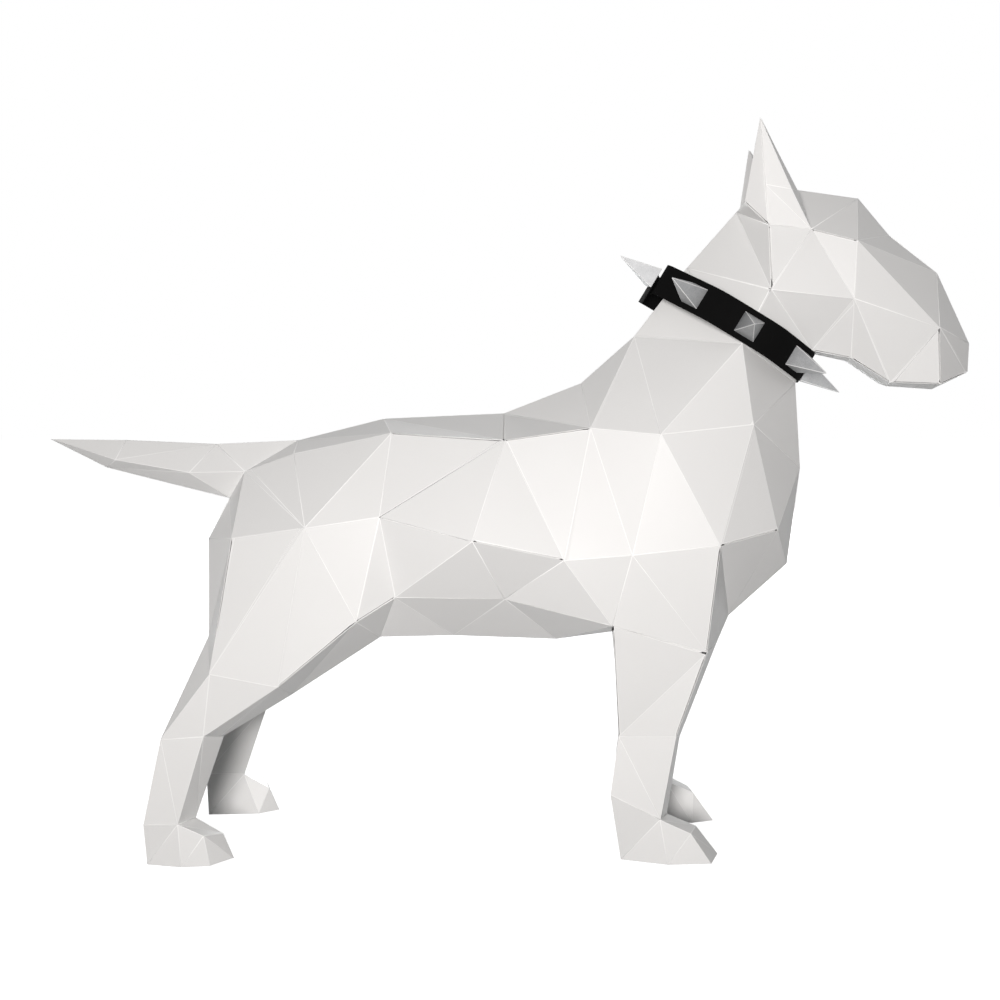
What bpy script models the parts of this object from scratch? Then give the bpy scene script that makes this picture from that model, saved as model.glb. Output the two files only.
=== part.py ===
"""A standing dog folded from white card, with a black card collar and silver card spikes.

The dog is a hollow hide of flat facets. It is cut as separate sheets of card, which are scored and
folded along the facet edges and glued to each other with tabs that lie behind the seams.
The dog looks along +X, +Z is up, and the floor under the middle of its length is the origin.
"""

import math

import bmesh
import bpy
from mathutils import Matrix, Vector

MM = 0.001

# The white card and its glued seams, in millimetres.
CARD = 0.4
SEAM = 0.3
FOLD_END_SPARE = 1.1
TAB_WIDTH = 6.5
TAB_CLEARANCE = 0.3
TAB_END = 1.6
SHORTEST_TAB = 4.0
LONGEST_LAP = 1.2
LEAST_CRIMP_COSINE = 0.2
HOLLOWEST_TAB = -70.0

# The collar: a strap of black card round the neck, in millimetres and degrees.
STRAP_WIDTH = 21.0
STRAP_CARD = 0.5
STRAP_BEND = 9.0
STRAP_BEND_STEPS = 4
STRAP_DROP = 9.0
COLLAR_LEAN = 31.3
COLLAR_RISE = 10.7

# The spikes: pyramids folded from silver card, in millimetres.
SPIKE_HEIGHT = 27.0
SPIKE_BASE = 14.5
SPIKE_CARD = 0.4
THROAT_SPIKE_DROP = 2.0
NAPE_SPIKE_RISE = 8.0
SPIKE_GAP = 0.3

# Corners of the hide in millimetres: along the body, out from the middle, and above the floor.
# A corner with no width lies on the middle line, and every other one has a twin on the far side.
CORNERS = {
    # skull, brow and muzzle
    "crown": (173, 0, 420),
    "skull_front": (228, 0, 412),
    "stop": (247.5, 0, 388.5),
    "muzzle_top": (278.5, 0, 364),
    "nose": (299, 0, 318.5),
    "lip": (298, 0, 300),
    "chin": (275, 0, 289),
    "keel_front": (246, 0, 291),
    "keel_mid": (221, 0, 307),
    "keel_rear": (198, 0, 312),
    "brow_side": (221.5, 33, 380),
    "muzzle_side": (273.5, 26, 327),
    "cheek_front": (219, 35, 344),
    "cheek_rear": (168, 38, 349.5),
    "jaw_corner": (196.5, 12, 313.5),
    "jaw_mid": (221, 14, 308.5),
    "mouth_corner": (244.5, 17, 293),
    "jaw_front": (276, 18, 292),
    # ear
    "ear_tip": (161, 41, 453.5),
    "ear_back": (153, 24, 405.5),
    "ear_fold": (165, 35, 414),
    "ear_front": (181, 34, 411.5),
    "ear_hollow": (186.5, 23, 412),
    "ear_base_mid": (167.5, 28, 390.5),
    "ear_base_front": (193.5, 31, 387.5),
    "ear_inner_base": (171, 11, 418),
    # neck
    "nape_top": (150, 0, 404),
    "nape_mid": (117.5, 0, 367.5),
    "neck_base": (83.5, 0, 323.5),
    "neck_low": (150.5, 37, 316.5),
    "throat": (187.5, 0, 293),
    # chest and shoulder
    "neck_front": (157.5, 36, 267),
    "chest_side": (173, 30, 201.5),
    "chest_top": (190.5, 0, 238.5),
    "chest_low": (182, 0, 176.5),
    "brisket": (144.5, 0, 143),
    "shoulder_top": (101, 53.5, 261.5),
    "shoulder_point": (136.5, 54, 195),
    "shoulder_low": (84, 59, 190),
    # back, ribs and belly
    "withers": (49, 0, 293),
    "loin": (-1, 0, 273.5),
    "croup": (-79.5, 0, 270),
    "withers_side": (58, 43, 265),
    "back_side": (5.5, 42, 257.5),
    "hip_top": (-67, 30, 261.5),
    "flank_top": (-68.5, 52, 211.5),
    "rib_mid": (-10, 67, 199),
    "rib_front": (44, 64, 187.5),
    "stifle_top": (-60.5, 46, 162),
    "belly_mid": (6, 44, 161),
    "groin": (-75, 25, 133.5),
    "belly_waist": (-30.5, 17, 133),
    "belly_front": (34.5, 17, 131),
    # tail, from its root to its tip
    "tail_root_top": (-135.5, 0, 256),
    "tail_root_side": (-167, 10, 236),
    "tail_root_bottom": (-181, 0, 218),
    "tail_mid_top": (-189.5, 0, 253.5),
    "tail_mid_side": (-202, 12, 235.5),
    "tail_mid_bottom": (-217, 0, 227),
    "tail_end_top": (-249, 0, 256),
    "tail_end_side": (-251.5, 9, 243.5),
    "tail_end_bottom": (-261.5, 0, 238),
    "tail_tip": (-299, 0, 256.5),
    # rump and thigh
    "rump_side": (-133, 16, 248),
    "thigh_top": (-113.5, 53, 205),
    "rump_rear": (-161.5, 44, 197.5),
    "ischium": (-187, 18, 194),
    "buttock_low": (-182, 29, 134.5),
    "thigh_front": (-81.5, 56, 149),
    "crotch_rear": (-168, 0, 150),
    "crotch_front": (-78, 0, 141),
    # hind leg
    "gaskin_rear": (-170.5, 55, 117),
    "gaskin_front": (-128.5, 57, 110),
    "gaskin_inner": (-129, 30, 98.5),
    "hock_rear": (-200, 55, 78),
    "hock_rear_inner": (-199, 30, 75),
    "hock_front": (-175.5, 51.5, 78.5),
    "hock_front_inner": (-169, 37, 74.5),
    "heel_top": (-211, 54, 26),
    "heel_top_inner": (-209.5, 31, 27.5),
    "ankle": (-191.5, 50.5, 25),
    "ankle_inner": (-186, 38, 24.5),
    "paw_top": (-176, 50, 18),
    "paw_top_inner": (-169, 38, 15),
    "heel": (-211, 49, 0),
    "paw_mid": (-188.5, 52.5, 0),
    "toe": (-172, 50.5, 0),
    "toe_inner": (-162, 38.5, 0),
    "paw_inner": (-173.5, 31, 0),
    "heel_inner": (-207, 29, 0),
    # foreleg
    "elbow_rear": (72, 54.5, 147),
    "elbow_front": (128.5, 47, 129.5),
    "elbow_rear_inner": (70.5, 32, 139),
    "elbow_front_inner": (136.5, 20, 131.5),
    "knee_rear": (75, 42, 77),
    "knee_rear_inner": (75.5, 24, 77.5),
    "knee_front": (110, 43, 77.5),
    "knee_front_inner": (112.5, 24, 72),
    "pastern": (70, 43.5, 42.5),
    "pastern_inner": (70.5, 25, 43),
    "fore_ankle": (100.5, 42, 27),
    "fore_ankle_inner": (104.5, 28, 25.5),
    "fore_paw_top": (119, 40.5, 18),
    "fore_paw_top_inner": (122.5, 28, 18),
    "fore_heel": (76, 36, 0),
    "fore_paw_mid": (105, 43, 0),
    "fore_toe": (131.5, 41, 0),
    "fore_toe_inner": (136, 26, 0),
    "fore_paw_inner": (121.5, 21.5, 0),
    "fore_heel_inner": (78, 25, 0),
}

# The sheets of card on each side of the dog, as the corners round each facet.
PAIRED_SHEETS = {
    "ear": (
        "ear_tip ear_back ear_base_mid ear_fold",
        "ear_tip ear_fold ear_front",
        "ear_fold ear_base_mid ear_base_front ear_front",
        "ear_tip ear_front ear_hollow",
        "ear_front ear_base_front ear_hollow",
        "ear_tip ear_hollow ear_inner_base",
        "ear_hollow ear_base_front ear_inner_base",
        "ear_tip ear_inner_base ear_back",
    ),
    "cheek": (
        "ear_base_mid ear_base_front cheek_rear",
        "ear_base_front brow_side cheek_front cheek_rear",
        "cheek_rear cheek_front jaw_corner",
        "cheek_front jaw_mid jaw_corner",
    ),
    "muzzle": (
        "stop muzzle_top brow_side",
        "brow_side muzzle_top muzzle_side",
        "brow_side muzzle_side cheek_front",
        "cheek_front muzzle_side mouth_corner",
        "cheek_front mouth_corner jaw_mid",
        "mouth_corner muzzle_side jaw_front",
    ),
    "shoulder_upper": (
        "withers_side neck_base shoulder_top",
        "neck_base neck_low shoulder_top",
        "neck_low neck_front shoulder_top",
    ),
    "shoulder_lower": (
        "shoulder_top neck_front shoulder_point",
        "neck_front chest_side shoulder_point",
        "shoulder_top shoulder_point shoulder_low",
        "withers_side shoulder_top shoulder_low",
        "withers_side shoulder_low rib_front",
    ),
    "ribs": (
        "back_side withers_side rib_front",
        "back_side rib_front rib_mid",
        "back_side rib_mid flank_top",
        "hip_top back_side flank_top",
    ),
    "flank": (
        "flank_top rib_mid stifle_top",
        "flank_top stifle_top thigh_front",
        "rib_mid belly_mid stifle_top",
        "rib_mid rib_front belly_mid",
        "rib_front elbow_rear belly_mid",
    ),
    "upper_arm": (
        "rib_front shoulder_low elbow_rear",
        "shoulder_low shoulder_point elbow_front elbow_rear",
    ),
    "forearm_outer": (
        "elbow_rear elbow_front knee_rear",
        "elbow_front knee_front knee_rear",
    ),
    "forearm_inner": (
        "elbow_front elbow_front_inner knee_front_inner knee_front",
        "elbow_front_inner elbow_rear_inner knee_rear_inner knee_front_inner",
        "elbow_rear knee_rear knee_rear_inner elbow_rear_inner",
    ),
    "fore_shank": (
        "knee_rear knee_front fore_ankle pastern",
        "knee_front knee_front_inner fore_ankle_inner fore_ankle",
        "knee_front_inner knee_rear_inner pastern_inner fore_ankle_inner",
        "knee_rear pastern pastern_inner knee_rear_inner",
    ),
    "fore_paw": (
        "pastern fore_ankle fore_heel",
        "fore_ankle fore_paw_mid fore_heel",
        "fore_ankle fore_paw_top fore_paw_mid",
        "fore_paw_top fore_toe fore_paw_mid",
        "fore_paw_top fore_paw_top_inner fore_toe_inner fore_toe",
        "fore_ankle fore_ankle_inner fore_paw_top_inner fore_paw_top",
        "fore_paw_top_inner fore_paw_inner fore_toe_inner",
        "fore_ankle_inner fore_paw_inner fore_paw_top_inner",
        "fore_ankle_inner fore_heel_inner fore_paw_inner",
        "fore_ankle_inner pastern_inner fore_heel_inner",
        "pastern fore_heel fore_heel_inner pastern_inner",
        "fore_heel fore_paw_mid fore_toe fore_toe_inner fore_paw_inner fore_heel_inner",
    ),
    "thigh": (
        "hip_top flank_top thigh_top",
        "thigh_top flank_top thigh_front",
        "thigh_top thigh_front gaskin_front",
        "thigh_top gaskin_front gaskin_rear",
        "thigh_top gaskin_rear rump_rear",
    ),
    "rump": (
        "rump_side hip_top thigh_top",
        "tail_root_side rump_side thigh_top",
        "tail_root_side thigh_top rump_rear",
        "tail_root_bottom tail_root_side rump_rear ischium",
        "ischium rump_rear buttock_low",
        "rump_rear gaskin_rear buttock_low",
    ),
    "inner_thigh": (
        "thigh_front stifle_top groin",
        "thigh_front groin gaskin_inner gaskin_front",
        "crotch_front gaskin_inner groin",
        "crotch_front crotch_rear gaskin_inner",
        "crotch_rear buttock_low gaskin_inner",
    ),
    "gaskin": (
        "gaskin_rear gaskin_front hock_front",
        "gaskin_rear hock_front hock_rear",
        "gaskin_front gaskin_inner hock_front_inner hock_front",
        "gaskin_inner buttock_low hock_front_inner",
        "buttock_low hock_rear_inner hock_front_inner",
        "buttock_low gaskin_rear hock_rear hock_rear_inner",
    ),
    "hind_shank": (
        "hock_rear hock_front ankle heel_top",
        "hock_front hock_front_inner ankle_inner ankle",
        "hock_front_inner hock_rear_inner heel_top_inner ankle_inner",
        "hock_rear heel_top heel_top_inner hock_rear_inner",
    ),
    "hind_paw": (
        "heel_top ankle heel",
        "ankle paw_mid heel",
        "ankle paw_top paw_mid",
        "paw_top toe paw_mid",
        "paw_top paw_top_inner toe_inner toe",
        "ankle ankle_inner paw_top_inner paw_top",
        "paw_top_inner paw_inner toe_inner",
        "ankle_inner paw_inner paw_top_inner",
        "ankle_inner heel_inner paw_inner",
        "ankle_inner heel_top_inner heel_inner",
        "heel_top heel heel_inner heel_top_inner",
        "heel paw_mid toe toe_inner paw_inner heel_inner",
    ),
}

# The sheets folded over the middle line: each facet has its mirror twin in the same sheet, and
# a corner with ~ before it is the one on the far side of a facet that crosses the line.
MIDDLE_SHEETS = {
    "crown_sheet": (
        "crown skull_front ear_base_front ear_inner_base",
        "nape_top crown ear_inner_base ear_back",
        "ear_base_front skull_front brow_side",
        "skull_front stop brow_side",
    ),
    "nose_front": (
        "muzzle_top nose muzzle_side",
        "muzzle_side nose lip jaw_front",
    ),
    "lower_jaw": (
        "jaw_corner keel_rear keel_mid jaw_mid",
        "jaw_mid keel_mid keel_front mouth_corner",
        "mouth_corner keel_front chin jaw_front",
        "jaw_front chin lip",
    ),
    "nape": (
        "nape_top ear_back ear_base_mid",
        "nape_top ear_base_mid cheek_rear",
        "nape_top cheek_rear nape_mid",
    ),
    "neck": (
        "nape_mid cheek_rear neck_low",
        "nape_mid neck_low neck_base",
    ),
    "throat_sheet": (
        "cheek_rear jaw_corner neck_low",
        "jaw_corner throat neck_low",
        "jaw_corner keel_rear throat",
    ),
    "chest_upper": (
        "neck_low throat neck_front",
        "neck_front throat chest_top",
    ),
    "chest_lower": (
        "neck_front chest_top chest_side",
        "chest_side chest_top chest_low",
        "chest_side chest_low brisket",
        "shoulder_point chest_side brisket",
        "shoulder_point brisket elbow_front_inner elbow_front",
    ),
    "withers_sheet": (
        "withers neck_base withers_side",
        "loin withers withers_side back_side",
    ),
    "back": (
        "croup loin back_side hip_top",
        "tail_root_top croup hip_top rump_side",
        "tail_root_top rump_side tail_root_side",
    ),
    "belly": (
        "stifle_top belly_waist groin",
        "stifle_top belly_mid belly_waist",
        "belly_mid belly_front belly_waist",
        "belly_mid elbow_rear belly_front",
        "elbow_rear elbow_rear_inner belly_front",
        "groin belly_waist ~belly_waist ~groin",
        "belly_waist belly_front ~belly_front ~belly_waist",
        "belly_front elbow_rear_inner ~elbow_rear_inner ~belly_front",
        "elbow_rear_inner elbow_front_inner ~elbow_front_inner ~elbow_rear_inner",
        "brisket ~elbow_front_inner elbow_front_inner",
        "groin ~groin crotch_front",
    ),
    "rump_middle": (
        "tail_root_bottom ischium ~ischium",
        "ischium buttock_low ~buttock_low ~ischium",
        "buttock_low crotch_rear ~buttock_low",
    ),
    "tail": (
        "tail_root_top tail_root_side tail_mid_top",
        "tail_root_side tail_mid_side tail_mid_top",
        "tail_root_side tail_root_bottom tail_mid_side",
        "tail_root_bottom tail_mid_bottom tail_mid_side",
        "tail_mid_top tail_mid_side tail_end_side tail_end_top",
        "tail_mid_side tail_mid_bottom tail_end_bottom tail_end_side",
        "tail_end_top tail_end_side tail_tip",
        "tail_end_side tail_end_bottom tail_tip",
    ),
}

# The collar's inner outline seen along the neck, in millimetres: forward from the neck's own axis
# line and out from the middle. It runs from one end of the strap, at the nape, round the near
# side to the throat, and back on the far side to the other end, which laps over the first one.
COLLAR_OUTLINE = {
    "inner_end": (-101.5, 6),
    "nape_near": (-101.5, -8.5),
    "rear_near": (-62, -40.5),
    "front_near": (-20, -39),
    "throat_near": (8.5, -11),
    "throat_far": (8.5, 11),
    "front_far": (-20, 39),
    "rear_far": (-62, 40.5),
    "nape_far": (-107.5, 8.5),
    "outer_end": (-102.6, -7),
}

# Each spike's flat of the strap, as the corners that bound it, and how far along it stands.
SPIKE_SEATS = {
    "spike_rear_right": ("nape_near", "rear_near", 0.65),
    "spike_side_right": ("rear_near", "front_near", 0.58),
    "spike_front_right": ("front_near", "throat_near", 0.65),
    "spike_throat": ("throat_near", "throat_far", 0.5),
    "spike_front_left": ("throat_far", "front_far", 0.35),
    "spike_side_left": ("front_far", "rear_far", 0.42),
    "spike_rear_left": ("rear_far", "nape_far", 0.35),
    "spike_nape": ("nape_far", "outer_end", 0.5),
}


def clear_scene():
    for obj in list(bpy.data.objects):
        bpy.data.objects.remove(obj)


def make_material(name, colour, roughness, metallic=0.0):
    material = bpy.data.materials.new(name)
    material.use_nodes = True
    shader = material.node_tree.nodes["Principled BSDF"]
    shader.inputs["Base Color"].default_value = (*colour, 1.0)
    shader.inputs["Roughness"].default_value = roughness
    shader.inputs["Metallic"].default_value = metallic
    return material


def corner_key(word, side):
    """The name and side of a corner: 0 on the middle line, -1 near (right) and 1 far (left)."""
    name = word.lstrip("~")
    if CORNERS[name][1] == 0:
        return name, 0
    return name, -side if word.startswith("~") else side


def corner_place(key):
    x, y, z = CORNERS[key[0]]
    return Vector((x, y * key[1], z))


def split_facet(keys):
    """A facet of four corners as two triangles, because its corners need not lie in one plane."""
    if len(keys) != 4:
        return [keys]
    return [(keys[0], keys[1], keys[2]), (keys[0], keys[2], keys[3])]


def sheet_facets():
    """Every sheet's name with its facets, as tuples of corner keys."""
    sheets = {}
    for name, facets in PAIRED_SHEETS.items():
        for side, suffix in ((-1, "_right"), (1, "_left")):
            keys = [tuple(corner_key(word, side) for word in facet.split()) for facet in facets]
            sheets[name + suffix] = [part for facet in keys for part in split_facet(facet)]
    for name, facets in MIDDLE_SHEETS.items():
        keys = []
        for facet in facets:
            words = facet.split()
            keys += split_facet(tuple(corner_key(word, -1) for word in words))
            if "~" not in facet:
                keys += split_facet(tuple(corner_key(word, 1) for word in words))
        sheets[name] = keys
    return sheets


def build_hide(sheets):
    """The whole hide as one closed surface that faces out, each face marked with its sheet."""
    hide = bmesh.new()
    sheet_layer = hide.faces.layers.int.new("sheet")
    corners = {}
    for number, facets in enumerate(sheets.values()):
        for keys in facets:
            for key in keys:
                if key not in corners:
                    corners[key] = hide.verts.new(corner_place(key))
            face = hide.faces.new([corners[key] for key in keys])
            face[sheet_layer] = number
    bmesh.ops.recalc_face_normals(hide, faces=hide.faces)
    hide.normal_update()
    hide.verts.index_update()
    return hide, sheet_layer


def fold_angle(edge, face, other):
    """How far the hide turns at an edge: positive where it is convex, negative where it is hollow."""
    turn = face.normal.angle(other.normal)
    over = other.calc_center_median() - face.calc_center_median()
    return -turn if over.dot(face.normal) > 0 else turn


def into_face(loop):
    """The unit vector in a face's plane that points from one of its edges into it."""
    along = loop.link_loop_next.vert.co - loop.vert.co
    return loop.face.normal.cross(along).normalized()


class Sheet:
    """One sheet of card: its facets, drawn back from its seams, with its tabs."""

    def __init__(self, hide, layer, number):
        self.layer = layer
        self.number = number
        self.faces = [face for face in hide.faces if face[layer] == number]
        self.points = []
        self.polygons = []
        self.index = {}
        self.seams = {}
        for face in self.faces:
            for loop in face.loops:
                other = next(f for f in loop.edge.link_faces if f != face)
                if other[layer] != number:
                    self.seams[loop.edge] = (loop, other)

    def seam_inset(self, edge):
        loop, other = self.seams[edge]
        turn = max(fold_angle(edge, loop.face, other), 0.0)
        return SEAM / 2 + CARD * math.tan(turn / 2)

    def add_point(self, place):
        self.points.append(place)
        return len(self.points) - 1

    def corner_index(self, vert):
        if vert not in self.index:
            self.index[vert] = self.add_point(self.drawn_back(vert))
        return self.index[vert]

    def drawn_back(self, vert):
        """A corner's place once the sheet is cut back from the seams that meet there."""
        edges = [edge for edge in vert.link_edges if edge in self.seams]
        if not edges:
            return vert.co.copy()
        first, second = edges[0], edges[1]
        near = self.seams[first][0]
        far = self.seams[second][0]
        if near.face == far.face:
            return vert.co + self.corner_shift(near, far)
        return vert.co + self.fold_shift(vert, edges)

    def corner_shift(self, near, far):
        """The shift in one facet that keeps its corner clear of two seams."""
        a, b = into_face(near), into_face(far)
        gap_a, gap_b = self.seam_inset(near.edge), self.seam_inset(far.edge)
        lean = a.dot(b)
        share = 1 - lean * lean
        return a * ((gap_a - lean * gap_b) / share) + b * ((gap_b - lean * gap_a) / share)

    def fold_shift(self, vert, edges):
        """The shift along a fold of the sheet that keeps its end clear of the seams there."""
        shifts = []
        for fold in vert.link_edges:
            if fold in self.seams or not all(f[self.layer] == self.number for f in fold.link_faces):
                continue
            way = (fold.other_vert(vert).co - vert.co).normalized()
            length = 0.0
            for edge in edges:
                seam_way = (edge.other_vert(vert).co - vert.co).normalized()
                slant = way.cross(seam_way).length
                length = max(length, self.seam_inset(edge) / max(slant, 0.1))
            shifts.append(way * (length * FOLD_END_SPARE))
        return min(shifts, key=lambda shift: shift.length)

    def build(self):
        for face in self.faces:
            outline = []
            for loop in face.loops:
                outline.append(self.corner_index(loop.vert))
                if loop.edge in self.seams:
                    outline += self.tab_on(loop)
            self.polygons.append(outline)

    def tab_on(self, loop):
        """Adds the tab of a seam, if this sheet carries it, and returns the points that join it."""
        other = self.seams[loop.edge][1]
        if other[self.layer] < self.number:
            return []
        if fold_angle(loop.edge, loop.face, other) < math.radians(HOLLOWEST_TAB):
            return []
        tab = Tab(self, loop, other)
        if not tab.outline:
            return []
        root = [self.add_point(place) for place in tab.root]
        base = root
        if tab.base:
            base = [self.add_point(place) for place in tab.base]
            self.polygons.append([root[1], root[0], base[0], base[1]])
        tip = [self.add_point(place) for place in tab.tip]
        self.polygons.append([base[1], base[0]] + tip)
        return root


class Tab:
    """A glue tab: it leaves its own sheet at a seam and lies behind the facet of the next one."""

    def __init__(self, sheet, loop, other):
        self.start = loop.vert.co
        self.along = (loop.link_loop_next.vert.co - loop.vert.co).normalized()
        self.length = (loop.link_loop_next.vert.co - loop.vert.co).length
        self.own_in = into_face(loop)
        self.own_out = loop.face.normal
        self.over_loop = next(l for l in other.loops if l.edge == loop.edge)
        self.over_in = into_face(self.over_loop)
        self.over_out = other.normal
        self.turn = fold_angle(loop.edge, loop.face, other)
        self.inset = sheet.seam_inset(loop.edge)
        self.find_fold_line()
        self.outline = self.cut_outline(other)
        self.root, self.base, self.tip = [], [], []
        if self.outline:
            self.place_points()

    def find_fold_line(self):
        """Where the tab folds: back on its own facet, or at the foot of a short crimp."""
        depth = CARD + TAB_CLEARANCE
        sine, cosine = math.sin(self.turn), math.cos(self.turn)
        back = depth / sine if sine > 0 else math.inf
        if back <= LONGEST_LAP or (cosine <= LEAST_CRIMP_COSINE and sine > 0):
            self.crimp = 0.0
            self.back = max(back, self.inset)
        else:
            self.back = self.inset
            self.crimp = (depth - sine * self.inset) / cosine
        fold = self.own_in * self.back - self.own_out * self.crimp
        self.fold_in = fold.dot(self.over_in)
        self.depth = -fold.dot(self.over_out)

    def cut_outline(self, other):
        """The tab seen flat, as points along and across the seam, kept clear of the facet's edges."""
        low, high = self.fold_in, self.fold_in + TAB_WIDTH
        outline = [(0.0, low), (self.length, low), (self.length, high), (0.0, high)]
        for loop in other.loops:
            if loop.edge != self.over_loop.edge:
                outline = clip(outline, *self.edge_line(loop))
        for end in (0, 1):
            outline = clip(outline, *self.corner_line(end))
        outline = clip(outline, (TAB_END, 0.0), (1.0, 0.0))
        outline = clip(outline, (self.length - TAB_END, 0.0), (-1.0, 0.0))
        base = [point[0] for point in outline if abs(point[1] - low) < 1e-6]
        if len(base) < 2 or max(base) - min(base) < SHORTEST_TAB:
            return []
        return outline

    def flat(self, vector):
        return vector.dot(self.along), vector.dot(self.over_in)

    def edge_line(self, loop):
        """The line that keeps a tab clear of another edge of the facet over it."""
        beyond = next((f for f in loop.edge.link_faces if f != loop.face), loop.face)
        turn = max(fold_angle(loop.edge, loop.face, beyond), 0.0)
        margin = TAB_END + (2 * CARD + TAB_CLEARANCE) * math.tan(turn / 2)
        inward = into_face(loop)
        return self.flat(loop.vert.co + inward * margin - self.start), self.flat(inward)

    def corner_line(self, end):
        """The line that halves a corner of the facet, so that two tabs there can't meet."""
        loop = self.over_loop
        at_start = (loop.vert.co - self.start).length < 1e-6
        if (end == 0) == at_start:
            corner, neighbour = loop.vert, loop.link_loop_prev
        else:
            corner, neighbour = loop.link_loop_next.vert, loop.link_loop_next
        half = (self.over_in - into_face(neighbour)).normalized()
        inward = half if half.dot(self.over_in) < 0 else -half
        shift = inward * (SEAM + TAB_END / 2)
        return self.flat(corner.co + shift - self.start), self.flat(inward)

    def place_points(self):
        low = self.fold_in
        base = sorted(point[0] for point in self.outline if abs(point[1] - low) < 1e-6)
        ends = (base[0], base[-1])
        rooted = [self.start + self.along * s + self.own_in * self.back for s in ends]
        folded = [point - self.own_out * self.crimp for point in rooted]
        self.root = rooted
        self.base = folded if self.crimp else []
        rest = [point for point in self.outline if abs(point[1] - low) >= 1e-6]
        middle = sum(ends) / 2
        rest.sort(key=lambda point: math.atan2(point[1] - low, point[0] - middle), reverse=True)
        origin = self.start - self.over_out * self.depth
        self.tip = [origin + self.along * s + self.over_in * w for s, w in rest]


def clip(outline, point, inward):
    """The part of a flat outline on the inner side of a line."""
    kept = []
    for first, second in zip(outline, outline[1:] + outline[:1]):
        a = (first[0] - point[0]) * inward[0] + (first[1] - point[1]) * inward[1]
        b = (second[0] - point[0]) * inward[0] + (second[1] - point[1]) * inward[1]
        if a >= 0:
            kept.append(first)
        if (a >= 0) != (b >= 0):
            share = a / (a - b)
            kept.append(tuple(p + (q - p) * share for p, q in zip(first, second)))
    return kept


def add_object(name, mesh, material, collection):
    obj = bpy.data.objects.new(name, mesh)
    mesh.materials.append(material)
    collection.objects.link(obj)
    return obj


def thicken(obj, card, offset=-1.0):
    solidify = obj.modifiers.new("card", "SOLIDIFY")
    solidify.thickness = card * MM
    solidify.offset = offset
    solidify.use_even_offset = True
    solidify.use_quality_normals = True


def make_sheets(material, collection):
    sheets = sheet_facets()
    hide, layer = build_hide(sheets)
    for number, name in enumerate(sheets):
        sheet = Sheet(hide, layer, number)
        sheet.build()
        mesh = bpy.data.meshes.new(name)
        mesh.from_pydata([point * MM for point in sheet.points], [], sheet.polygons)
        thicken(add_object(name, mesh, material, collection), CARD)
    hide.free()


def collar_frame():
    """The collar's middle and its directions: forward across the neck, sideways, and up the neck."""
    lean = math.radians(COLLAR_LEAN)
    forward = Vector((math.cos(lean), 0.0, -math.sin(lean)))
    upward = Vector((math.sin(lean), 0.0, math.cos(lean)))
    height = corner_place(("neck_low", 1)).dot(upward) + COLLAR_RISE
    return upward * height, forward, Vector((0.0, 1.0, 0.0)), upward


def strap_corners():
    """The outline's corners with their height: the far side sinks towards its lapped end."""
    names = list(COLLAR_OUTLINE)
    places = [Vector(place) for place in COLLAR_OUTLINE.values()]
    first_far = names.index("throat_far")
    far = places[first_far:]
    far_length = sum((b - a).length for a, b in zip(far, far[1:]))
    corners, gone = {}, 0.0
    for k, name in enumerate(names):
        if k > first_far:
            gone += (places[k] - places[k - 1]).length
        corners[name] = Vector((places[k].x, places[k].y, -STRAP_DROP * gone / far_length))
    return corners


def round_corner(before, corner, after):
    """A bend of the strap, as points on a short curve in place of a corner."""
    reach = min(STRAP_BEND, (before - corner).length * 0.45, (after - corner).length * 0.45)
    start = corner + (before - corner).normalized() * reach
    end = corner + (after - corner).normalized() * reach
    points = []
    for step in range(STRAP_BEND_STEPS + 1):
        t = step / STRAP_BEND_STEPS
        points.append(start * (1 - t) ** 2 + corner * (2 * t * (1 - t)) + end * t**2)
    return points


def strap_path():
    """The middle of the strap's inner face, from one end once round the neck to the other."""
    corners = list(strap_corners().values())
    path = [corners[0]]
    for before, corner, after in zip(corners, corners[1:], corners[2:]):
        path += round_corner(before, corner, after)
    path.append(corners[-1])
    return path


def make_strap(material, collection):
    middle, forward, sideways, upward = collar_frame()
    points, faces = [], []
    for place in strap_path():
        centre = middle + forward * place.x + sideways * place.y + upward * place.z
        points += [centre - upward * (STRAP_WIDTH / 2), centre + upward * (STRAP_WIDTH / 2)]
    for k in range(0, len(points) - 2, 2):
        faces.append((k, k + 2, k + 3, k + 1))
    mesh = bpy.data.meshes.new("collar_strap")
    mesh.from_pydata([point * MM for point in points], [], faces)
    thicken(add_object("collar_strap", mesh, material, collection), STRAP_CARD, 1.0)


def spike_seat(name, corners):
    """Where a spike stands on the strap's outer face, and the way it points."""
    first, second, share = SPIKE_SEATS[name]
    place = corners[first].lerp(corners[second], share)
    if name == "spike_throat":
        place.z -= THROAT_SPIKE_DROP
    if name == "spike_nape":
        place.z += NAPE_SPIKE_RISE
    run = corners[second] - corners[first]
    return place, Vector((-run.y, run.x)).normalized() * -1


def spike_mesh(name):
    """A hollow pyramid with an open base."""
    shape = bmesh.new()
    bmesh.ops.create_cone(
        shape,
        cap_ends=False,
        segments=4,
        radius1=SPIKE_BASE * MM / math.sqrt(2),
        radius2=0.0,
        depth=SPIKE_HEIGHT * MM,
        matrix=Matrix.Rotation(math.pi / 4, 4, "Z"),
    )
    bmesh.ops.remove_doubles(shape, verts=shape.verts, dist=0.01 * MM)
    mesh = bpy.data.meshes.new(name)
    shape.to_mesh(mesh)
    shape.free()
    return mesh


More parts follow.
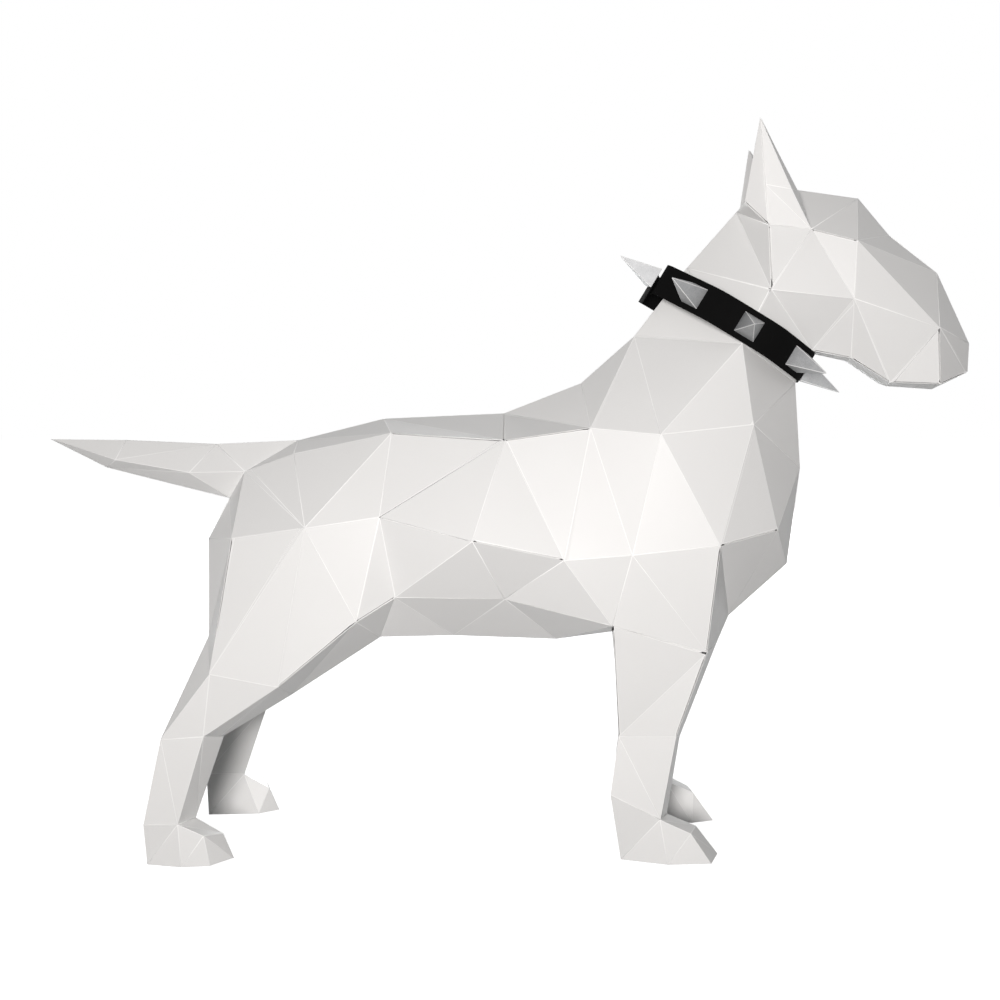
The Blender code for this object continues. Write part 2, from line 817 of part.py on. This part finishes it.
def make_spikes(material, collection):
    middle, forward, sideways, upward = collar_frame()
    corners = strap_corners()
    lift = STRAP_CARD + SPIKE_GAP + SPIKE_HEIGHT / 2
    for name in SPIKE_SEATS:
        place, out = spike_seat(name, corners)
        pointing = forward * out.x + sideways * out.y
        seat = middle + forward * place.x + sideways * place.y + upward * place.z + pointing * lift
        turn = Matrix((upward.cross(pointing), upward, pointing)).transposed()
        obj = add_object(name, spike_mesh(name), material, collection)
        thicken(obj, SPIKE_CARD)
        obj.matrix_world = Matrix.Translation(seat * MM) @ turn.to_4x4()


def main():
    clear_scene()
    collection = bpy.data.collections.new("paper_dog")
    bpy.context.scene.collection.children.link(collection)
    white = make_material("white_card", (0.86, 0.86, 0.85), 0.75)
    black = make_material("black_card", (0.012, 0.012, 0.013), 0.7)
    silver = make_material("silver_card", (0.62, 0.63, 0.64), 0.42, 0.85)
    make_sheets(white, collection)
    make_strap(black, collection)
    make_spikes(silver, collection)


main()
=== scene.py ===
"""Looks of the paper dog: folded white card, a black card strap and silver card spikes."""

import math

import bmesh
import bpy
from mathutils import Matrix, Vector
from mathutils.bvhtree import BVHTree


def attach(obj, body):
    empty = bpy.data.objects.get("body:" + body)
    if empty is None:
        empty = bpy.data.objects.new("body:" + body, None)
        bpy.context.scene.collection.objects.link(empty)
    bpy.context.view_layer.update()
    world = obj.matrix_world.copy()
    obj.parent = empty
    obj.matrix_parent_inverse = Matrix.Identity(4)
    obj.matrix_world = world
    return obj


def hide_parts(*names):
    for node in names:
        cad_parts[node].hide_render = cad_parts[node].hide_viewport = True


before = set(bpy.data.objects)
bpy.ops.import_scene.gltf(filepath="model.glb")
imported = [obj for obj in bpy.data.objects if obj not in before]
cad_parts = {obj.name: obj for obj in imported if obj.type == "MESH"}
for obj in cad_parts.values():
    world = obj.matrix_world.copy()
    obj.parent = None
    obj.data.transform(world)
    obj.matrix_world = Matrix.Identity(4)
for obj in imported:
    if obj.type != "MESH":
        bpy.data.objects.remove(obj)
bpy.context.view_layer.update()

scene = bpy.context.scene
scene.view_settings.view_transform = "Standard"


# The photograph's camera. It stands level with the withers, nearly square to the dog's right
# side. The picture is cropped, so that the lens's middle lies right of and above its own.
LEVEL = math.radians(90)


def photo_camera(place, lens, sensor, turn, shift):
    data = bpy.data.cameras.new("photo_camera")
    data.lens = lens
    data.sensor_width = sensor
    data.shift_x, data.shift_y = shift
    camera = bpy.data.objects.new("photo_camera", data)
    camera.location = place
    camera.rotation_euler = (LEVEL, 0, math.radians(turn))
    scene.collection.objects.link(camera)
    scene.camera = camera


photo_camera(
    place=(0.1002, -0.6799, 0.2789), lens=37.8, sensor=36.0, turn=1.2, shift=(-0.138, -0.095)
)


# The studio: a white sweep that the camera sees as plain white, darkened a little where the dog
# shades it, with one soft lamp close behind the camera and a wide one beyond the dog's far side.
FLOOR_DROP = 0.0002
WHITE = (1, 1, 1, 1)
WARM_WHITE = (1.0, 0.973, 0.958)
COOL_WHITE = (0.985, 1.0, 1.0)
MIX_FACTOR, MIX_LOW, MIX_HIGH, MIX_RESULT = 0, 6, 7, 2


def add_node(tree, kind, settings=(), sockets=()):
    """A new node of a tree. A socket among the values is linked to, and other values are set."""
    made = tree.nodes.new(kind)
    for name, value in dict(settings).items():
        setattr(made, name, value)
    for name, value in dict(sockets).items():
        if isinstance(value, bpy.types.NodeSocket):
            tree.links.new(value, made.inputs[name])
        else:
            made.inputs[name].default_value = value
    return made


class Tone:
    """A socket of a finish's node tree. Sums and products of tones add the Math nodes they need."""

    def __init__(self, tree, socket=None):
        self.tree = tree
        self.socket = socket

    def node(self, kind, settings=(), sockets=(), out=0):
        values = {name: getattr(value, "socket", value) for name, value in dict(sockets).items()}
        made = add_node(self.tree, "ShaderNode" + kind, settings, values)
        return Tone(self.tree, made.outputs[out])

    def plug(self, socket, value):
        if isinstance(value, Tone):
            self.tree.links.new(value.socket, socket)
        else:
            socket.default_value = value

    def joined(self, operation, other):
        return self.node("Math", {"operation": operation}, {0: self, 1: other})

    def __add__(self, other):
        return self.joined("ADD", other)

    def __mul__(self, other):
        return self.joined("MULTIPLY", other)

    def between(self, low, high):
        """This tone, from 0 to 1, as a mix of two colours."""
        values = {MIX_FACTOR: self, MIX_LOW: (*low, 1), MIX_HIGH: (*high, 1)}
        return self.node("Mix", {"data_type": "RGBA"}, values, MIX_RESULT)


def seen_by(tree, first_ray, *other_rays):
    """A tone that is 1 for the named kinds of ray and 0 for the rest."""
    path = add_node(tree, "ShaderNodeLightPath")
    seen = Tone(tree, path.outputs[first_ray])
    for ray in other_rays:
        seen = seen.joined("MAXIMUM", Tone(tree, path.outputs[ray]))
    return seen


def light_world(strength):
    """White to the camera and in reflections, but a much weaker white as a source of light."""
    world = bpy.data.worlds.new("studio")
    world.use_nodes = True
    scene.world = world
    tree = world.node_tree
    seen = seen_by(tree, "Is Camera Ray", "Is Glossy Ray", "Is Transmission Ray")
    background = tree.nodes["Background"].inputs
    seen.plug(background["Strength"], seen * (1.0 - strength) + strength)
    seen.plug(background["Color"], WHITE)


def sweep(reach, seen_white, seen_paper, bounce):
    """The floor. It shows white to the camera, with the dog's own shade close under it."""
    shape = bmesh.new()
    bmesh.ops.create_grid(shape, x_segments=1, y_segments=1, size=reach)
    mesh = bpy.data.meshes.new("sweep")
    shape.to_mesh(mesh)
    shape.free()
    floor = bpy.data.objects.new("sweep", mesh)
    floor.location = (0, 0, -FLOOR_DROP)
    scene.collection.objects.link(floor)
    paper = bpy.data.materials.new("sweep_paper")
    paper.use_nodes = True
    tree = paper.node_tree
    seen = seen_by(tree, "Is Camera Ray", "Is Glossy Ray")
    white = seen.node("Emission", sockets={"Color": WHITE, "Strength": seen * seen_white})
    matte = tree.nodes["Principled BSDF"]
    seen.plug(matte.inputs["Base Color"], seen.between((bounce,) * 3, (seen_paper,) * 3))
    seen.plug(matte.inputs["Roughness"], 1.0)
    seen.plug(matte.inputs["Specular IOR Level"], 0.0)
    surface = seen.node("AddShader", sockets={0: matte.outputs[0], 1: white})
    seen.plug(tree.nodes["Material Output"].inputs["Surface"], surface)
    mesh.materials.append(paper)


def soft_lamp(name, place, target, size, power, tint):
    data = bpy.data.lights.new(name, "AREA")
    data.shape = "DISK"
    data.size = size
    data.energy = power
    data.color = tint
    lamp = bpy.data.objects.new(name, data)
    lamp.location = place
    lamp.rotation_euler = (Vector(target) - Vector(place)).to_track_quat("-Z", "Y").to_euler()
    scene.collection.objects.link(lamp)


light_world(strength=0.14)
sweep(reach=8.0, seen_white=0.88, seen_paper=0.9, bounce=0.06)
soft_lamp(
    "near_lamp", (0.01, -1.05, 0.34), target=(0, 0, 0.24), size=0.3, power=9.9, tint=WARM_WHITE
)
soft_lamp(
    "rear_lamp", (-0.2, 2.0, 0.6), target=(0, 0, 0.22), size=1.2, power=36, tint=COOL_WHITE
)


# The head: separate sheets of white card for the skull, muzzle, jaw, cheeks and ears. Each is
# scored, folded and glued behind its neighbour's edge. The cut edges and folds show as paler lines:
# painted highlights, with the card's white core at the cuts.
MERGE_DISTANCE = 0.000004
FACET_TURN = math.radians(0.2)
UNKNOWN_TURN = 9.0
SQUARE_TURN = math.radians(50)
CUT_FACE_WIDTH = 0.00052
CRIMP_WIDTH = 0.0011
WIDEST_SEAM = 0.0007
SEAM_CLOSING = 0.49
DRAW_ROUNDS = 8
FARTHEST_DRAW = 0.0009
CUT_LINE_WIDTH = 0.00045
ON_CUT, ON_FOLD = 1, 2
FIBRE_STRETCH = (0.16, 1.0, 1.0)


def merge_corners(shape):
    bmesh.ops.remove_doubles(shape, verts=shape.verts, dist=MERGE_DISTANCE)
    bmesh.ops.recalc_face_normals(shape, faces=shape.faces)


def solid_copy(name):
    """A merged copy of a solid, with its corners and faces alone."""
    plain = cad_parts[name].data
    corners = [vert.co for vert in plain.vertices]
    bare = bpy.data.meshes.new(name + "_copy")
    bare.from_pydata(corners, [], [face.vertices for face in plain.polygons])
    shape = bmesh.new()
    shape.from_mesh(bare)
    bpy.data.meshes.remove(bare)
    merge_corners(shape)
    return shape


def flat_areas(shape):
    """The sheet's faces, gathered into flat areas that end at folds and at cut edges."""
    areas = []
    waiting = dict.fromkeys(shape.faces)
    while waiting:
        start = next(iter(waiting))
        del waiting[start]
        area = [start]
        for face in area:
            for edge in face.edges:
                for other in edge.link_faces:
                    turn = face.normal.angle(other.normal, UNKNOWN_TURN)
                    if other in waiting and turn < FACET_TURN:
                        del waiting[other]
                        area.append(other)
        areas.append(area)
    return areas


def area_rim(area):
    inside = set(area)
    edges = dict.fromkeys(edge for face in area for edge in face.edges)
    return [edge for edge in edges if not all(face in inside for face in edge.link_faces)]


def area_width(area):
    rim_length = sum(edge.calc_length() for edge in area_rim(area))
    return 2 * sum(face.calc_area() for face in area) / rim_length


def shows_thickness(area):
    """Whether an area is a cut through the card: narrow, and square to what lies beside it."""
    rim = area_rim(area)
    square = sum(edge.calc_length() for edge in rim if edge.calc_face_angle(0) > SQUARE_TURN)
    whole = sum(edge.calc_length() for edge in rim)
    return area_width(area) < CUT_FACE_WIDTH and square > whole / 2


def surface_trees():
    """For every sheet of white card, its plain surface to search on."""
    trees = {}
    for name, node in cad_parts.items():
        if node.data and not name.startswith("spike") and name != "collar_strap":
            corners = [vert.co for vert in node.data.vertices]
            faces = [face.vertices for face in node.data.polygons]
            trees[name] = BVHTree.FromPolygons(corners, faces)
    return trees


def close_seams(shape, name, areas):
    """Draws the sheet's edges, within its facets, towards the sheets that it is glued beside."""
    broad = {face for area in areas if area_width(area) > CRIMP_WIDTH for face in area}
    for vert in shape.verts:
        ways = []
        for other, tree in sheet_surfaces.items():
            place = tree.find_nearest(vert.co, WIDEST_SEAM)[0] if other != name else None
            if place is not None:
                ways.append((place - vert.co) * SEAM_CLOSING)
        flats = [face.normal.copy() for face in vert.link_faces if face in broad]
        move = Vector()
        for way in ways * DRAW_ROUNDS:
            move += way * (1.0 - move.dot(way) / way.length_squared)
            for flat in flats:
                move -= flat * move.dot(flat)
        if move.length > FARTHEST_DRAW:
            move *= FARTHEST_DRAW / move.length
        vert.co += move


def line_edges(shape, areas, cuts):
    """Marks off a narrow strip round every flat area: a painted highlight along each edge, with
    the card's white core colour beside a cut, and rounded shading at a fold.
    """
    strips = []
    for area in areas:
        if area[0] not in cuts:
            strips += bmesh.ops.inset_region(
                shape,
                faces=area,
                thickness=CUT_LINE_WIDTH,
                use_even_offset=False,
                use_boundary=True,
            )["faces"]
    for face in shape.faces:
        face.smooth = False
        face.material_index = ON_CUT if face in cuts else 0
    # The paler strips are painted highlights along the edges; beside a cut they also show the
    # card's white core.
    for strip in strips:
        strip.smooth = True
        beside_cut = any(other in cuts for edge in strip.edges for other in edge.link_faces)
        strip.material_index = ON_CUT if beside_cut else ON_FOLD
    for edge in shape.edges:
        edge.smooth = not any(face in cuts for face in edge.link_faces)


class Finish:
    """A new material, its shader's sockets and the coordinates that its patterns are laid on."""

    def __init__(self, name):
        self.material = bpy.data.materials.new(name)
        self.material.use_nodes = True
        tree = self.material.node_tree
        self.shader = tree.nodes["Principled BSDF"].inputs
        self.place = Tone(tree).node("TexCoord", out="Object")

    def noise(self, scale, detail, roughness=0.5, place=None):
        values = {"Scale": scale, "Detail": detail, "Roughness": roughness}
        return self.place.node("TexNoise", sockets={"Vector": place or self.place, **values})

    def completed(self, values, height, bump):
        """The material, once its shader has these values and a relief of this height."""
        relief = {"Strength": bump, "Distance": 1.0, "Height": height}
        normal = self.place.node("Bump", sockets=relief)
        for name, value in {**values, "Normal": normal}.items():
            self.place.plug(self.shader[name], value)
        return self.material


def card_finish(name, light, shade, grain_turn):
    """White card: a faint cloudiness, fibres that run with the sheet's grain, and tiny pits."""
    finish = Finish(name)
    turned = {"Vector": finish.place, "Rotation": grain_turn, "Scale": FIBRE_STRETCH}
    along = finish.place.node("Mapping", sockets=turned)
    clouds = finish.noise(scale=28.0, detail=3.0)
    fibres = finish.noise(scale=2600.0, detail=3.0, roughness=0.6, place=along)
    pits = finish.noise(scale=4200.0, detail=2.0)
    values = {
        "Base Color": (clouds * 0.45 + fibres * 0.35 + pits * 0.2).between(shade, light),
        "Roughness": fibres * 0.14 + 0.38,
        "Specular IOR Level": 0.6,
    }
    return finish.completed(values, height=fibres * 0.00003 + pits * 0.00002, bump=0.7)


def cut_edge_finish(name, low, high):
    """The card's white core along a cut, paler than the sheet's face and furry. On the strip of
    face beside the cut the same colour is a painted highlight.
    """
    finish = Finish(name)
    fuzz = finish.noise(scale=3400.0, detail=4.0, roughness=0.7)
    values = {"Base Color": fuzz.between(low, high), "Roughness": fuzz * 0.2 + 0.7}
    return finish.completed(values, height=fuzz * 0.00005, bump=0.6)


def fold_sheet(name, face_finish):
    """The finished sheet that is shown in place of its plain solid."""
    shape = solid_copy(name)
    areas = flat_areas(shape)
    cuts = {face for area in areas if shows_thickness(area) for face in area}
    close_seams(shape, name, areas)
    line_edges(shape, areas, cuts)
    mesh = bpy.data.meshes.new(name + "_folded")
    shape.to_mesh(mesh)
    shape.free()
    for finish in (face_finish, card_core_and_highlight, card_fold_painted_highlight):
        mesh.materials.append(finish)
    sheet = bpy.data.objects.new(name + "_folded", mesh)
    scene.collection.objects.link(sheet)
    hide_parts(name)
    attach(sheet, "root")


def fold_pairs(names, face_finish):
    for name in names:
        fold_sheet(name + "_right", face_finish)
        fold_sheet(name + "_left", face_finish)


sheet_surfaces = surface_trees()
# Strip colours: the card's white core with a painted highlight beside cuts, and a painted highlight
# along folds.
card_core_and_highlight = cut_edge_finish("card_core_and_highlight", (0.93, 0.93, 0.92), (0.99, 0.99, 0.985))
# The fold strips' paler card is a painted highlight of the rounded folds.
card_fold_painted_highlight = card_finish("card_fold_painted_highlight", (0.99, 0.99, 0.985), (0.94, 0.94, 0.933), (0.5, 0.5, 0.5))
head_card = card_finish("head_card", (0.83, 0.83, 0.825), (0.77, 0.77, 0.762), (0.2, 0.1, 0.9))
for sheet_name in ("crown_sheet", "nose_front", "lower_jaw"):
    fold_sheet(sheet_name, head_card)
fold_pairs(("muzzle", "cheek", "ear"), head_card)


# The neck: a nape sheet folded over the middle line, a plain sleeve that the collar covers, and
# a throat sheet glued under the jaw. Their grain is turned away from that of the head's sheets.
neck_card = card_finish("neck_card", (0.83, 0.83, 0.824), (0.77, 0.77, 0.761), (0.0, 0.7, 0.3))
for sheet_name in ("nape", "neck", "throat_sheet"):
    fold_sheet(sheet_name, neck_card)


# The body: long sheets over the back, panels for the shoulders, ribs, flanks and rump, and a
# belly sheet that closes the shell from below. It is put together in a ring, from the back down.
body_card = card_finish("body_card", (0.83, 0.83, 0.825), (0.77, 0.77, 0.762), (0.1, 0.0, 0.1))
for sheet_name in (
    "withers_sheet", "back", "chest_upper", "chest_lower", "belly", "rump_middle"
):
    fold_sheet(sheet_name, body_card)
fold_pairs(("shoulder_upper", "shoulder_lower", "ribs", "flank", "rump"), body_card)


# The legs: upper panels that grow out of the body, tubes folded from one strip for the shanks,
# and paws whose soles fold in under them, so that they stand flat.
leg_card = card_finish("leg_card", (0.83, 0.83, 0.824), (0.77, 0.77, 0.761), (0.0, 1.4, 0.2))
fold_pairs(("upper_arm", "forearm_outer", "forearm_inner", "fore_shank", "fore_paw"), leg_card)
fold_pairs(("thigh", "inner_thigh", "gaskin", "hind_shank", "hind_paw"), leg_card)


# The tail: one long sheet wrapped round to a point, glued over the opening at the rump.
# Its card is a shade darker than the rest.
tail_card = card_finish("tail_card", (0.82, 0.82, 0.815), (0.765, 0.765, 0.757), (0.0, 0.2, 0.0))
fold_sheet("tail", tail_card)


# The collar: a strap of matte black card, bent round the neck and lapped at the nape. Only its
# bends are smooth, and its long edges stay sharp.
SHARP_TURN = math.radians(40)


def black_card_finish(name, low, high, roughness):
    finish = Finish(name)
    fibres = finish.noise(scale=1900.0, detail=4.0, roughness=0.65)
    dust = finish.noise(scale=240.0, detail=2.0)
    values = {
        "Base Color": (fibres * 0.7 + dust * 0.3).between(low, high),
        "Roughness": fibres * 0.14 + roughness,
        "Specular IOR Level": 0.04,
    }
    return finish.completed(values, height=fibres * 0.00005, bump=0.7)


strap_shape = solid_copy("collar_strap")
for strap_face in strap_shape.faces:
    strap_face.smooth = True
strap_mesh = bpy.data.meshes.new("collar_strap_card")
strap_shape.to_mesh(strap_mesh)
strap_shape.free()
strap_mesh.set_sharp_from_angle(angle=SHARP_TURN)
strap_mesh.materials.append(
    black_card_finish("black_card", (0.002, 0.002, 0.002), (0.006, 0.006, 0.006), roughness=0.78)
)
strap = bpy.data.objects.new("collar_strap_card", strap_mesh)
scene.collection.objects.link(strap)
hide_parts("collar_strap")
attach(strap, "root")


# The spikes: eight hollow pyramids, each folded from one piece of silver card and glued on the
# strap by its open base. The foil is satin and finely grained, and pale along the folds: partly
# cracked foil and partly a painted highlight of the folded edges.
PLACE_DIGITS = 6
SPIKE_CORNERS = 4
SPIKE_CARD = 0.0004
SHORTEST_SPIKE_FOLD = 0.02
CREASE_WIDTH = 0.00035
ON_CREASE = 1


def spike_seats():
    """Where each spike's middle is, the way it points, how its base is turned, and its sizes."""
    seats = []
    for name, node in sorted(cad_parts.items()):
        if not name.startswith("spike"):
            continue
        corners = [vert.co.copy() for vert in node.data.vertices]
        places = list({tuple(round(c, PLACE_DIGITS) for c in p): p for p in corners}.values())
        middle = sum(places, Vector()) / len(places)
        tip = max(places, key=lambda p: (p - middle).length)
        base = sorted(places, key=lambda p: -(p - tip).length)[:SPIKE_CORNERS]
        foot = sum(base, Vector()) / SPIKE_CORNERS
        pointing = (tip - foot).normalized()
        side = (base[0] - foot) - pointing * (base[0] - foot).dot(pointing)
        seats.append({
            "middle": (tip + foot) / 2,
            "pointing": pointing,
            "side": side.normalized(),
            "corner_reach": side.length,
            "height": (tip - foot).length,
        })
    return seats


def spike_tree(foil):
    """Sets a four-sided pyramid on every point, aimed by the point's own directions."""
    tree = bpy.data.node_groups.new("card_spikes", "GeometryNodeTree")
    panel = tree.interface
    panel.new_socket("Geometry", in_out="INPUT", socket_type="NodeSocketGeometry")
    corner = panel.new_socket("Corner reach", in_out="INPUT", socket_type="NodeSocketFloat")
    height = panel.new_socket("Height", in_out="INPUT", socket_type="NodeSocketFloat")
    panel.new_socket("Geometry", in_out="OUTPUT", socket_type="NodeSocketGeometry")
    points, corner_reach, tall = tree.nodes.new("NodeGroupInput").outputs[:3]
    sizes = {"Radius Top": 0.0, "Radius Bottom": corner_reach, "Depth": tall}
    cone = add_node(
        tree,
        "GeometryNodeMeshCone",
        {"fill_type": "NONE"},
        {"Vertices": SPIKE_CORNERS, **sizes},
    )
    half_down = add_node(tree, "ShaderNodeMath", {"operation": "MULTIPLY"}, {0: tall, 1: -0.5})
    drop = add_node(tree, "ShaderNodeCombineXYZ", sockets={"Z": half_down.outputs[0]})
    centred = add_node(
        tree,
        "GeometryNodeTransform",
        sockets={"Geometry": cone.outputs[0], "Translation": drop.outputs[0]},
    )
    pointing, side = (
        add_node(
            tree, "GeometryNodeInputNamedAttribute", {"data_type": "FLOAT_VECTOR"}, {0: name}
        ).outputs[0]
        for name in ("pointing", "side")
    )
    aim = add_node(
        tree,
        "FunctionNodeAxesToRotation",
        {"primary_axis": "Z", "secondary_axis": "X"},
        {0: pointing, 1: side},
    )
    placed = add_node(
        tree,
        "GeometryNodeInstanceOnPoints",
        sockets={"Points": points, "Instance": centred.outputs[0], "Rotation": aim.outputs[0]},
    )
    real = add_node(tree, "GeometryNodeRealizeInstances", sockets={0: placed.outputs[0]})
    dressed = add_node(
        tree,
        "GeometryNodeSetMaterial",
        sockets={"Geometry": real.outputs[0], "Material": foil},
    )
    end = tree.nodes.new("NodeGroupOutput")
    tree.links.new(dressed.outputs[0], end.inputs[0])
    return tree, corner.identifier, height.identifier


def foil_finish(name, low, high, roughness, metallic):
    """Silver card: satin foil over paper, with a fine grain that speckles it."""
    finish = Finish(name)
    grain = finish.noise(scale=1300.0, detail=4.0, roughness=0.75)
    smears = finish.noise(scale=160.0, detail=2.0)
    values = {
        "Base Color": (grain * 0.75 + smears * 0.25).between(low, high),
        "Roughness": grain * 0.2 + roughness,
        "Metallic": metallic,
    }
    return finish.completed(values, height=grain * 0.00006, bump=0.8)


def spike_points(seats):
    mesh = bpy.data.meshes.new("spike_points")
    mesh.from_pydata([seat["middle"] for seat in seats], [], [])
    for name in ("pointing", "side"):
        values = mesh.attributes.new(name, "FLOAT_VECTOR", "POINT")
        values.data.foreach_set("vector", [c for seat in seats for c in seat[name]])
    points = bpy.data.objects.new("spike_points", mesh)
    scene.collection.objects.link(points)
    return points


def made_spikes(name, foil, crease):
    """All the spikes as one mesh, with the card's thickness and a pale line along each fold, partly
    cracked foil and partly a painted highlight.
    """
    seats = spike_seats()
    points = spike_points(seats)
    tree, corner_input, height_input = spike_tree(foil)
    grow = points.modifiers.new("spikes", "NODES")
    grow.node_group = tree
    grow[corner_input] = seats[0]["corner_reach"]
    grow[height_input] = seats[0]["height"]
    card = points.modifiers.new("card", "SOLIDIFY")
    card.thickness = SPIKE_CARD
    card.offset = -1.0
    card.use_even_offset = True
    bpy.context.view_layer.update()
    graph = bpy.context.evaluated_depsgraph_get()
    mesh = bpy.data.meshes.new_from_object(points.evaluated_get(graph), depsgraph=graph)
    bpy.data.objects.remove(points)
    shape = bmesh.new()
    shape.from_mesh(mesh)
    merge_corners(shape)
    for face in shape.faces:
        face.material_index = 0
    bmesh.ops.bevel(
        shape,
        geom=[e for e in shape.edges if e.calc_length() > SHORTEST_SPIKE_FOLD and e.is_convex],
        offset=CREASE_WIDTH,
        offset_type="OFFSET",
        segments=2,
        profile=0.5,
        affect="EDGES",
        clamp_overlap=True,
        material=ON_CREASE,
    )
    mesh.name = name
    mesh.materials.clear()
    mesh.materials.append(foil)
    mesh.materials.append(crease)
    shape.to_mesh(mesh)
    shape.free()
    spikes = bpy.data.objects.new(name, mesh)
    scene.collection.objects.link(spikes)
    return spikes


silver_foil = foil_finish(
    "silver_card", (0.14, 0.143, 0.147), (0.52, 0.525, 0.53), roughness=0.52, metallic=0.85
)
# Pale foil along the spikes' folds: partly cracked foil, partly a painted highlight of the folded
# edges.
cracked_foil_and_highlight = foil_finish(
    "silver_card_fold", (0.62, 0.62, 0.62), (0.82, 0.82, 0.82), roughness=0.5, metallic=0.4
)
spikes = made_spikes("collar_spikes", silver_foil, cracked_foil_and_highlight)
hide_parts(*[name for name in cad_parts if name.startswith("spike")])
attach(spikes, "root")
